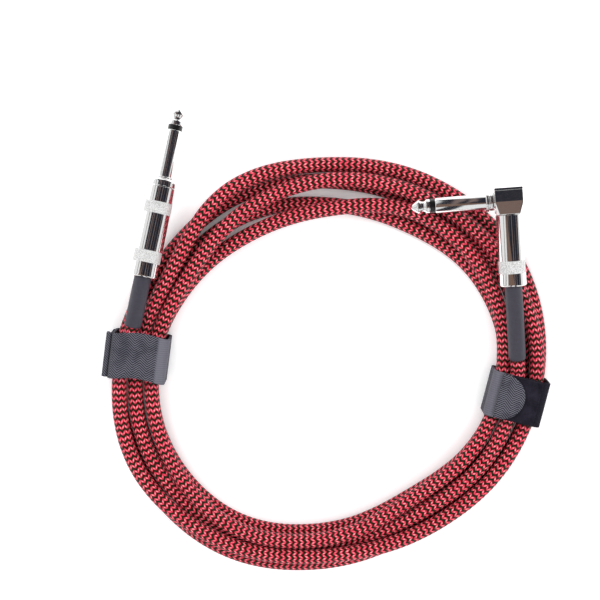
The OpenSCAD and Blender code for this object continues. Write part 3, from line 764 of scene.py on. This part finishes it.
def boot(which, matrix, cable_z, length, bend, inner_top):
    """Rubber boot: straight out of its shell, then bent towards the coil, with a soft lip."""
    nothing_selected()
    bpy.ops.mesh.primitive_circle_add(vertices=64, radius=(BOOT_R - 0.35) * MM,
                                      location=(0, 0, inner_top * MM), fill_type="NGON")
    obj = opened(which + "_boot_rubber", "EDGE")
    down = Vector((0, 0, -1.0))

    def ring(step, radius, now):
        extrude_edges(*(down * step))
        if radius != now:
            grow(*(radius / now,) * 3)
        return radius

    r = ring(0.3, BOOT_R, BOOT_R - 0.35)
    for k in range(3):
        r = ring((inner_top - 0.3 + BOOT_STRAIGHT) / 3, BOOT_R, r)
    radius = (length - BOOT_STRAIGHT) / math.radians(bend)
    turn_by = math.radians(bend) / BOOT_STEPS
    chord = 2 * radius * math.sin(turn_by / 2)
    for k in range(BOOT_STEPS):
        mid = down.copy()
        mid.rotate(Matrix.Rotation(-turn_by / 2, 3, "Y"))
        # the last step leaves room for the lip
        extrude_edges(*(mid * (chord - (BOOT_LIP if k == BOOT_STEPS - 1 else 0.0))))
        mesh = bmesh.from_edit_mesh(obj.data)
        ends = [v.co for v in mesh.verts if v.select]
        centre = obj.matrix_world @ (sum(ends, Vector()) / len(ends))
        bpy.ops.transform.rotate(value=turn_by, orient_axis="Y", center_override=centre)
        down.rotate(Matrix.Rotation(-turn_by, 3, "Y"))
    for step, radius in ((0.35, BOOT_R - 0.04), (0.3, BOOT_R - 0.16), (0.2, BOOT_R - 0.34),
                         (0.03, 3.12), (-0.5, 2.95)):
        r = ring(step, radius, r)
    bpy.ops.mesh.edge_face_add()
    closed()
    fit(obj, matrix @ Matrix.Translation((0, 0, cable_z * MM)), boot_rubber, "cable",
        which + "_boot")


boot("straight", STRAIGHT_PLUG, -STRAIGHT_L, STRAIGHT_BOOT_L, STRAIGHT_BEND, 7.45)
boot("angle", ANGLE_PLUG, shell_end, ANGLE_BOOT_L, ANGLE_BEND, 10.4)

# ---- Straps -------------------------------------------------------------------------
STRAP_W = 19.0
STRAP_T = 1.0
CORD_TO_STRAP = 0.1
STRAP_IN = PITCH + CORD_D / 2 + 1.0
STRAP_OUT = STRAP_IN + STRAP_T
STRAP_ROUND = 3.4
BUNDLE_IN = 1.35
PILE_T, HOOK_T, TAB_T, SEAT = 0.8, 0.5, 1.0, 0.2
HOOK_BORDER, HOOK_BASE, HOOK_PITCH = 1.5, 0.16, 0.9
FOLD_R = (PILE_T + SEAT + HOOK_T + TAB_T) / 2
LEFT_TOP = cord_start.z / MM + CORD_D / 2 + CORD_TO_STRAP + STRAP_T
RIGHT_TOP = cord_end.z / MM + CORD_D / 2 + CORD_TO_STRAP + STRAP_T
LEFT_TAB_L, RIGHT_TAB_L = 12.0, 10.0
LEFT_BOW = 1.5
TAB_LAP = 0.35
TAB_R = STRAP_W / 2 - 0.3
FOLD_ROOT = 1.3
HOOK_TOP = PILE_T + SEAT + HOOK_T
BAND_STEPS = 10


def strap_matrix(angle, skew):
    """Frame of a strap: X outwards from the coil, Y along the cord, Z up."""
    return (Matrix.Translation((COIL_X * MM, COIL_Y * MM, 0))
            @ Matrix.Rotation(math.radians(angle), 4, "Z")
            @ Matrix.Translation((ring_radius(angle) * MM, 0, 0))
            @ Matrix.Rotation(math.radians(skew), 4, "Z")
            @ Matrix.Translation((-BUNDLE_IN * MM, 0, 0)))


LEFT_STRAP = strap_matrix(LEFT_ANGLE, -6)
RIGHT_STRAP = strap_matrix(RIGHT_ANGLE, -3)
LEFT_CLOSURE = (LEFT_STRAP
                @ Matrix.Translation(Vector((STRAP_OUT, 0, LEFT_TOP - STRAP_ROUND - FOLD_R)) * MM)
                @ Matrix.Rotation(math.radians(90), 4, "Y"))
RIGHT_CLOSURE = RIGHT_STRAP @ Matrix.Translation(
    Vector((-(STRAP_OUT - STRAP_ROUND) + FOLD_R, 0, RIGHT_TOP)) * MM)


def webbing_finish(name, flat_from=None, flat_to=None, pile_from=None):
    """Herringbone webbing: ribs lean one way, then the other, in columns across the strap, with
    painted shade that makes their crests light and their grooves dark.
    Along its map it may be pale and flat for a stretch, and loop pile from a place on, in mm."""
    f = Finish(name)
    _, along, across = f.map_of("weave")
    drift = f.grain(240.0, 2.0)
    lean = f.math("PINGPONG", f.math("ADD", along, 100.0), 3.0)
    run = f.math("ADD", f.times(lean, 0.8), across)
    run = f.scaled(drift, 0.45, run)
    rib = f.scaled(f.sine(run, 2 * math.pi), 0.5, 0.5)
    height = f.scaled(f.sine(along, 2 * math.pi / 0.5), 0.12, rib)
    height = f.scaled(f.grain(3000.0, 3.0), 0.30, height)
    # darker patches at random over the webbing
    darker_patches = f.step(f.grain(150.0, 4.0), 0.45, 0.7)
    # painted shade: where a rib stands high it gets the light tone, where it sinks the dark tone
    shade = f.mix(f.step(height, 0.2, 1.05), WEB_DARK, WEB_LIGHT)
    shade = f.mix(f.times(darker_patches, 0.45), shade, toned(WEB_DARK, 1.6))
    if flat_from is not None:
        flat_rib = f.sine(across, 2 * math.pi / 0.9)
        pale = f.mix(f.scaled(flat_rib, 0.3, 0.5), toned(WEB_LIGHT, 0.75), toned(WEB_LIGHT, 1.12))
        near = f.window(along, flat_from, flat_to, 0.25, 0.7)
        shade = f.mix(near, shade, pale)
        height = f.times(height, f.scaled(near, -0.7, 1.0))
    if pile_from is not None:
        fuzz = f.grain(*FUZZ)
        beyond = f.step(along, pile_from - 0.2, pile_from + 0.2)
        shade = f.mix(beyond, shade, f.mix(f.step(fuzz, 0.3, 0.8), PILE_DARK, PILE_LIGHT))
        height = f.math("ADD", f.times(beyond, fuzz),
                        f.times(height, f.math("SUBTRACT", 1.0, beyond)))
    f.set(Base_Color=shade, Roughness=0.85, Sheen_Weight=0.03, Sheen_Roughness=0.5,
          Specular_IOR_Level=0.15)
    f.bump(height, 0.00022, 0.8)
    return f


def pile_finish():
    """Loop pile: fuzzy, with brushed patches."""
    f = Finish("loop_pile")
    fuzz = f.grain(*FUZZ)
    level = f.scaled(f.grain(210.0, 3.0), 0.6, f.times(fuzz, 0.5))
    f.set(Base_Color=f.mix(f.step(level, 0.3, 0.8), PILE_DARK, PILE_LIGHT), Roughness=0.95,
          Sheen_Weight=0.04, Sheen_Roughness=0.6, Specular_IOR_Level=0.05)
    f.bump(fuzz, 0.0004, 0.9)
    return f


# painted shade of the webbing's ribs: WEB_DARK for their grooves, WEB_LIGHT for their crests
WEB_DARK = (0.012, 0.012, 0.019)
WEB_LIGHT = (0.160, 0.158, 0.190)
PILE_DARK = (0.005, 0.004, 0.008)
PILE_LIGHT = (0.026, 0.023, 0.036)
FUZZ = (2600.0, 6.0, 0.7)
webbing = webbing_finish("webbing")
left_webbing = webbing_finish("left_webbing", -17.0, -7.6)
right_webbing = webbing_finish("right_webbing", -17.0, -8.0, pile_from=-4.0)
loop_pile = pile_finish()
hook_black = plain_finish("hook_black", (0.006, 0.006, 0.007), (0.020, 0.020, 0.022), 0.5)


def girth_map(obj, half, top, r):
    """Weave map in mm: along the strap's girth from the middle of its top, and across it."""
    a, b = half - r, top / 2 - r
    whole = 4 * (a + b) + 2 * math.pi * r

    def along(co):
        x, z = co.x / MM, co.z / MM - top / 2
        sign = 1.0 if x >= 0 else -1.0
        if abs(x) <= a:
            return x if z > 0 else sign * (2 * a + 2 * b + math.pi * r - abs(x))
        across, up = abs(x) - a, max(-b, min(b, z))
        return sign * (a + r * math.atan2(across, z - up) + b - up)

    layer = obj.data.uv_layers.new(name="weave")
    for face in obj.data.polygons:
        first = None
        for i in face.loop_indices:
            co = obj.data.vertices[obj.data.loops[i].vertex_index].co
            s = along(co)
            if first is None:
                first = s
            elif s - first > whole / 2:
                s -= whole
            elif first - s > whole / 2:
                s += whole
            layer.data[i].uv = (s, co.y / MM)


def weave_map(obj, along):
    """Weave map in mm: along the strap as the given rule has it, and across it."""
    layer = obj.data.uv_layers.new(name="weave")
    for loop, spot in zip(obj.data.loops, layer.data):
        co = obj.data.vertices[loop.vertex_index].co / MM
        spot.uv = (along(co), co.y)


def strap_band(name, top, bow):
    """A strip of webbing round the bundle, with rounded corners and soft edges.
    Its top sags along the cord by bow in the middle."""
    nothing_selected()
    bpy.ops.mesh.primitive_plane_add(size=2 * MM, location=(0, -STRAP_W / 2 * MM, top / 2 * MM),
                                     rotation=(math.radians(90), 0, 0))
    obj = opened(name, "VERT")
    grow(STRAP_OUT, 1.0, top / 2)
    bpy.ops.mesh.bevel(affect="VERTICES", offset=STRAP_ROUND * MM, segments=9, profile=0.5)
    bpy.ops.mesh.select_all(action="SELECT")
    bpy.ops.mesh.delete(type="ONLY_FACE")
    bpy.ops.mesh.select_mode(type="EDGE")
    select_where(obj, "edges", lambda edge: edge.calc_length() > 3 * MM)
    bpy.ops.mesh.subdivide(number_cuts=9)
    bpy.ops.mesh.select_all(action="SELECT")
    for k in range(BAND_STEPS):
        extrude_edges(0, STRAP_W / BAND_STEPS, 0)
    closed()
    if bow:
        bpy.ops.object.mode_set(mode="EDIT")
        bpy.ops.mesh.select_mode(type="VERT")
        select_where(obj, "verts", lambda vert: vert.co.z > (top - 0.1) * MM
                     and abs(vert.co.x) < 1.2 * MM)
        bpy.ops.transform.translate(value=(0, -bow * MM, 0), use_proportional_edit=True,
                                    proportional_edit_falloff="SMOOTH", proportional_size=14 * MM)
    apply_modifier(obj, "SOLIDIFY", thickness=STRAP_T * MM, offset=-1.0, use_even_offset=True)
    soften_edges(obj, 0.3, 3, 50.0)
    girth_map(obj, STRAP_OUT, top, STRAP_ROUND)
    return obj


def strap_fold(name):
    """Where the strap leaves the band and turns back over itself into the tab."""
    nothing_selected()
    bpy.ops.mesh.primitive_plane_add(size=MM, location=(FOLD_ROOT * MM, 0, STRAP_T / 2 * MM),
                                     rotation=(0, math.radians(90), 0))
    obj = opened(name, "FACE")
    grow(1.0, 2 * TAB_R, STRAP_T)
    extrude_faces(-FOLD_ROOT, 0, 0)
    bpy.ops.mesh.spin(steps=14, angle=math.pi, center=(0, 0, FOLD_R * MM), axis=(0, -1, 0))
    weld()
    closed()

    def unrolled(co):
        bent = math.pi if co.x > 0 else math.atan2(-co.x, co.z - FOLD_R)
        return -FOLD_R * bent - max(co.x, 0.0)

    weave_map(obj, unrolled)
    return obj


def tab(name, length):
    """Tab with a half-round end, webbing on its outside."""
    centre = length - TAB_R
    nothing_selected()
    bpy.ops.mesh.primitive_circle_add(vertices=72, radius=TAB_R * MM, fill_type="NOTHING",
                                      location=(centre * MM, 0, (HOOK_TOP + TAB_T) * MM))
    obj = opened(name, "VERT")
    select_where(obj, "verts", lambda vert: vert.co.x < (centre - 0.05) * MM)
    bpy.ops.mesh.delete(type="VERT")
    bpy.ops.mesh.select_all(action="SELECT")
    bpy.ops.mesh.edge_face_add()
    bpy.ops.mesh.select_mode(type="EDGE")
    select_where(obj, "edges", lambda edge: all(v.co.x < (centre + 0.05) * MM for v in edge.verts))
    extrude_edges(-(centre + TAB_LAP), 0, 0)
    bpy.ops.mesh.select_mode(type="FACE")
    bpy.ops.mesh.select_all(action="SELECT")
    bpy.ops.mesh.normals_make_consistent(inside=False)
    extrude_faces(0, 0, -TAB_T)
    weld()
    closed()
    soften_edges(obj, 0.22, 3, 50.0)
    weave_map(obj, lambda co: co.x)
    return obj


def pile_pad(name, start, end):
    """Pad of loop pile: its rim slopes out a little and then goes straight down."""
    length = end - start
    nothing_selected()
    bpy.ops.mesh.primitive_grid_add(x_subdivisions=26, y_subdivisions=48, size=MM,
                                    location=((start + end) / 2 * MM, 0, PILE_T * MM))
    grow(length, STRAP_W - 1.0, 1.0)
    obj = opened(name, "EDGE")
    bpy.ops.mesh.region_to_loop()
    extrude_edges(0, 0, -0.25)
    grow(1.0 + 0.3 / length, 1.0 + 0.2 / STRAP_W, 1.0)
    extrude_edges(0, 0, -0.53)
    bpy.ops.mesh.edge_face_add()
    closed()
    return obj


def hook_row(x, top, length, count):
    """A row of moulded hooks across a tab: each a stem with a wider head."""
    nothing_selected()
    bpy.ops.mesh.primitive_cone_add(vertices=6, radius1=0.10 * MM, radius2=0.15 * MM,
                                    depth=0.6 * length * MM,
                                    location=(x * MM, -(count - 1) / 2 * HOOK_PITCH * MM,
                                              (top - 0.3 * length) * MM))
    row = opened("hook_row", "FACE")
    select_where(row, "faces", lambda face: face.normal.z < -0.9)
    extrude_faces(0, 0, 0)
    grow(2.1, 2.1, 1.0)
    extrude_faces(0, 0, -0.4 * length)
    grow(0.6, 0.6, 1.0)
    apply_modifier(row, "ARRAY", count=count, use_relative_offset=False, use_constant_offset=True,
                   constant_offset_displace=(0, HOOK_PITCH * MM, 0))
    return row


def hook_pad(name, length):
    """Pad of hooks under a tab, cut to the tab's round end."""
    centre, r = length - TAB_R, TAB_R - HOOK_BORDER
    start = FOLD_R + 2 * SEAT
    nothing_selected()
    bpy.ops.mesh.primitive_cylinder_add(vertices=72, radius=r * MM, depth=HOOK_BASE * MM,
                                        location=(centre * MM, 0, (HOOK_TOP - HOOK_BASE / 2) * MM))
    pad = opened(name, "VERT")
    bpy.ops.mesh.bisect(plane_co=(start * MM, 0, 0), plane_no=(-1, 0, 0), use_fill=True,
                        clear_outer=True)
    soften_edges(pad, 0.04, 2, 50.0)
    rows = []
    x = start + HOOK_PITCH / 2
    while x < centre + r - HOOK_PITCH / 2:
        half = math.sqrt(r * r - max(0.0, x - centre) ** 2) - HOOK_PITCH / 2
        # each row is rooted a little inside the base
        rows.append(hook_row(x, HOOK_TOP - HOOK_BASE + 0.02, HOOK_T - HOOK_BASE,
                             2 * int(half / HOOK_PITCH) + 1))
        x += HOOK_PITCH
    fuse(pad, rows)
    return pad


def strap(side, matrix, closure, top, flat, tab_l, band_finish, bow):
    """One strap: its band, fold, pile, tab and hooks."""
    fit(strap_band(side + "_band_webbing", top, bow), matrix, band_finish, "cable",
        side + "_strap_band")
    fold = strap_fold(side + "_fold_webbing")
    fit(fold, closure, webbing, None, side + "_strap_fold")
    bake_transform(fold)
    fit(pile_pad(side + "_pile_loops", FOLD_R + SEAT, flat - FOLD_R), closure, loop_pile, "cable",
        side + "_strap_pile")
    fit(tab(side + "_tab_webbing", tab_l), closure, webbing, side + "_tab",
        side + "_strap_tab")
    fit(hook_pad(side + "_hook_pad", tab_l), closure, hook_black, side + "_tab",
        side + "_strap_hooks")


strap("left", LEFT_STRAP, LEFT_CLOSURE, LEFT_TOP, LEFT_TOP - 2 * STRAP_ROUND, LEFT_TAB_L,
      left_webbing, LEFT_BOW)
strap("right", RIGHT_STRAP, RIGHT_CLOSURE, RIGHT_TOP, 2 * (STRAP_OUT - STRAP_ROUND), RIGHT_TAB_L,
      right_webbing, 0.0)

# ---- Finishes of the solids inside the plugs ----------------------------------------
for which in ("straight", "angle"):
    for finish, nodes in (
            (ring_black, ("tip_insulator",)), (brass, ("tip_rod", "rod_nut")),
            (fibre_board, ("rear_washer",)), (tinned, ("tip_lug", "ground_clamp")),
            (solder, ("tip_solder",)), (copper, ("conductor", "shield_tail")),
            (jacket_black, ("jacket",)), (core_white, ("core",)), (liner_pale, ("liner",))):
        finish.on(*(bpy.data.objects[which + "_" + node] for node in nodes))


# ---- Floor and light ----------------------------------------------------------------
def white_floor():
    """A floor that shows white to the camera and in metal, keeps its shadow, and has painted shade
    in its glow under and between the turns.
    """
    nothing_selected()
    bpy.ops.mesh.primitive_plane_add(size=6.0, location=(0, 0, -0.0002))
    floor = bpy.context.object
    floor.name = "floor"
    f = Finish("floor_white")
    rays = f.add("ShaderNodeLightPath")
    seen = f.math("MAXIMUM", rays.outputs["Is Camera Ray"], rays.outputs["Is Glossy Ray"])
    seen = f.math("MAXIMUM", seen, rays.outputs["Is Transmission Ray"])
    # painted shade: under and between the turns the floor's glow is dimmed by ambient occlusion
    open_sky = f.add("ShaderNodeAmbientOcclusion", samples=8)
    open_sky.inputs["Distance"].default_value = 7 * MM
    lit = f.math("POWER", open_sky.outputs["AO"], 1.3)
    f.set(Roughness=0.9, Specular_IOR_Level=0.0, Base_Color=(0.9, 0.9, 0.9),
          Emission_Color=(1.0, 1.0, 1.0), Emission_Strength=f.times(f.times(seen, 0.5), lit))
    f.on(floor)


def studio_sky():
    """Soft white light; metal reflects a made-up studio, and the camera sees plain white."""
    world = bpy.data.worlds.new("studio")
    bpy.context.scene.world = world
    world.use_nodes = True
    nodes = Nodes(world.node_tree)
    rays = nodes.add("ShaderNodeLightPath")
    way = nodes.add("ShaderNodeTexCoord").outputs["Generated"]

    def glow(node, colour, strength):
        nodes.feed(node.inputs["Color"], rgba(colour))
        nodes.feed(node.inputs["Strength"], strength)
        return node.outputs[0]

    def by_ray(kind, others, seen):
        """What one kind of ray sees, and what the others see."""
        choose = nodes.add("ShaderNodeMixShader")
        for socket, value in zip(choose.inputs, (rays.outputs[kind], others, seen)):
            nodes.link(value, socket)
        return choose.outputs[0]

    def towards(direction, low, high):
        """1 where the sky lies beyond high along a direction, 0 before low."""
        return nodes.step(nodes.vector("DOT_PRODUCT", way, direction), low, high)

    white, dark = (0.95, 0.96, 0.97), (0.018, 0.021, 0.032)
    warm, streak, grey = (0.20, 0.125, 0.095), (0.22, 0.165, 0.155), (0.36, 0.35, 0.35)
    # metal sees a dark ceiling, warm on its near side and with soft streaks from front to back
    sky = nodes.mix(towards((0.6, 1.0, 0.0), -0.12, -0.06), warm, dark)
    streaks = nodes.noise(nodes.vector("MULTIPLY", way, (1.0, 0.08, 0.0)), 7.0, 2.0)
    sky = nodes.mix(nodes.step(streaks, 0.53, 0.59), sky, streak)
    # two dark uprights on the near wall, for barrels seen from low down
    wall = white
    for side in (1.0, -1.0):
        wall = nodes.mix(towards((side, 0.0, 0.0), 0.16, 0.20), wall, dark)
        wall = nodes.mix(towards((side, 0.0, 0.0), 0.38, 0.42), wall, white)
    # walls all round it: near, left with a grey upright, right and far
    for direction, low, high, colour in (
            ((0.0, -1.0, 0.0), 0.40, 0.47, wall), ((-1.0, 0.2, 0.0), 0.62, 0.68, white),
            ((-1.0, 0.2, 0.0), 0.80, 0.82, grey), ((-1.0, 0.2, 0.0), 0.86, 0.89, white),
            ((1.0, -0.1, 0.0), 0.90, 0.95, white), ((0.0, 1.0, 0.0), 0.93, 0.98, white)):
        sky = nodes.mix(towards(direction, low, high), sky, colour)
    soft = glow(nodes.tree.nodes["Background"], (0.97, 0.98, 1.0), 0.55)
    reflected = glow(nodes.add("ShaderNodeBackground"), sky, 1.0)
    # past the floor's edge the camera sees white, as on the floor
    plain = glow(nodes.add("ShaderNodeBackground"), (1.0, 1.0, 1.0), 1.0)
    shown = by_ray("Is Camera Ray", by_ray("Is Glossy Ray", soft, reflected), plain)
    nodes.link(shown, nodes.tree.nodes["World Output"].inputs["Surface"])


def lamp(name, place, size, power):
    """A square lamp aimed at the origin."""
    data = bpy.data.lights.new(name, "AREA")
    data.size = size
    data.energy = power
    obj = bpy.data.objects.new(name, data)
    obj.location = place
    obj.visible_glossy = False
    obj.rotation_euler = (-Vector(place)).to_track_quat("-Z", "Y").to_euler()
    bpy.context.scene.collection.objects.link(obj)


white_floor()
studio_sky()
lamp("key", (-0.55, 0.75, 1.05), 0.7, 9.0)
lamp("fill", (0.9, 0.1, 0.9), 0.9, 6.0)
lamp("front", (0.1, -0.9, 0.8), 0.9, 4.5)
bpy.context.scene.view_settings.view_transform = "Standard"
